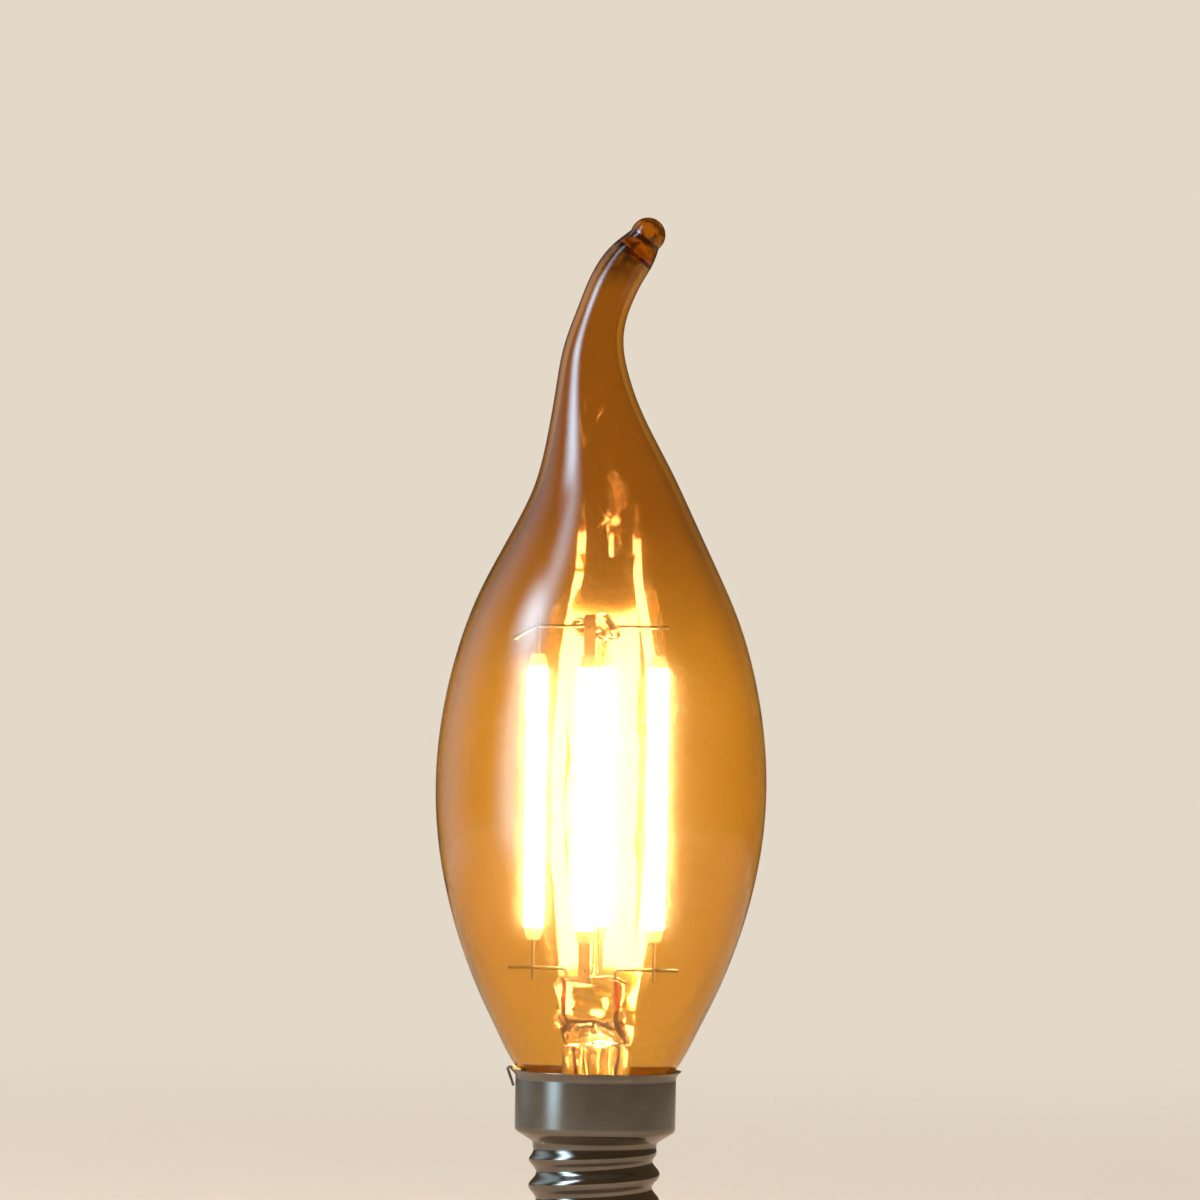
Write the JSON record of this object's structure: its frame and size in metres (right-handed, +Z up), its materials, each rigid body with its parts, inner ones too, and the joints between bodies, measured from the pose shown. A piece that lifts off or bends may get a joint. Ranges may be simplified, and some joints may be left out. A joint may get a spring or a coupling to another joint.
{
  "type": "candle bulb",
  "caption": "Lit candle bulb: amber glass envelope drawn out into a bent flame tip, upright filaments round a glass pillar, small screw cap with a long skirt.",
  "frame": {"origin": "centre of the centre contact's face, at the foot of the screw cap", "axes": "+Z up the screw axis from the contact to the tip, +X towards the side that the tip bends to, -Y towards the viewer"},
  "size_m": [0.035, 0.035, 0.1153],
  "materials": {
    "amber_glass": "clear blown glass with an even amber tint, glossy",
    "clear_glass": "clear drawn and pressed glass, glossy",
    "phosphor": "yellow phosphor silicone, glowing warm white",
    "terminal_metal": "stamped plated steel strip, satin",
    "nickel_wire": "drawn nickel wire, satin",
    "seal_copper": "copper-clad seal wire, oxide red",
    "lead_copper": "copper lead wire, darkened by heat",
    "nickel_plate": "bright nickel plate on drawn brass sheet",
    "black_insulator": "black glassy insulator, smooth",
    "tinned_contact": "tinned contact, satin",
    "basing_cement": "cured basing cement, yellowish and matte",
    "board_laminate": "green board laminate",
    "component_black": "black moulded package, matte",
    "capacitor_can": "drawn can, satin",
    "resistor_coat": "grey-green fireproof coat, matte"
  },
  "bodies": {
    "root": {"glass_envelope": "amber_glass", "glass_stem": "clear_glass", "exhaust_tube": "clear_glass", "glass_pillar": "clear_glass", "filament_front": "phosphor", "filament_right": "phosphor", "filament_back": "phosphor", "filament_left": "phosphor", "terminal_front_lower": "terminal_metal", "terminal_front_upper": "terminal_metal", "terminal_right_lower": "terminal_metal", "terminal_right_upper": "terminal_metal", "terminal_back_lower": "terminal_metal", "terminal_back_upper": "terminal_metal", "terminal_left_lower": "terminal_metal", "terminal_left_upper": "terminal_metal", "top_anchor_left": "nickel_wire", "top_anchor_right": "nickel_wire", "press_anchor": "nickel_wire", "inner_lead_left": "nickel_wire", "inner_lead_right": "nickel_wire", "seal_wire_left": "seal_copper", "seal_wire_right": "seal_copper", "outer_lead_left": "lead_copper", "outer_lead_right": "lead_copper", "cap_shell": "nickel_plate", "cap_insulator": "black_insulator", "contact_pin": "tinned_contact", "centre_lead": "lead_copper", "side_lead": "nickel_wire", "basing_cement": "basing_cement", "driver_board": "board_laminate", "bridge_rectifier": "component_black", "driver_chip": "component_black", "smoothing_capacitor": "capacitor_can", "fuse_resistor": "resistor_coat"}
  },
  "joints": []
}
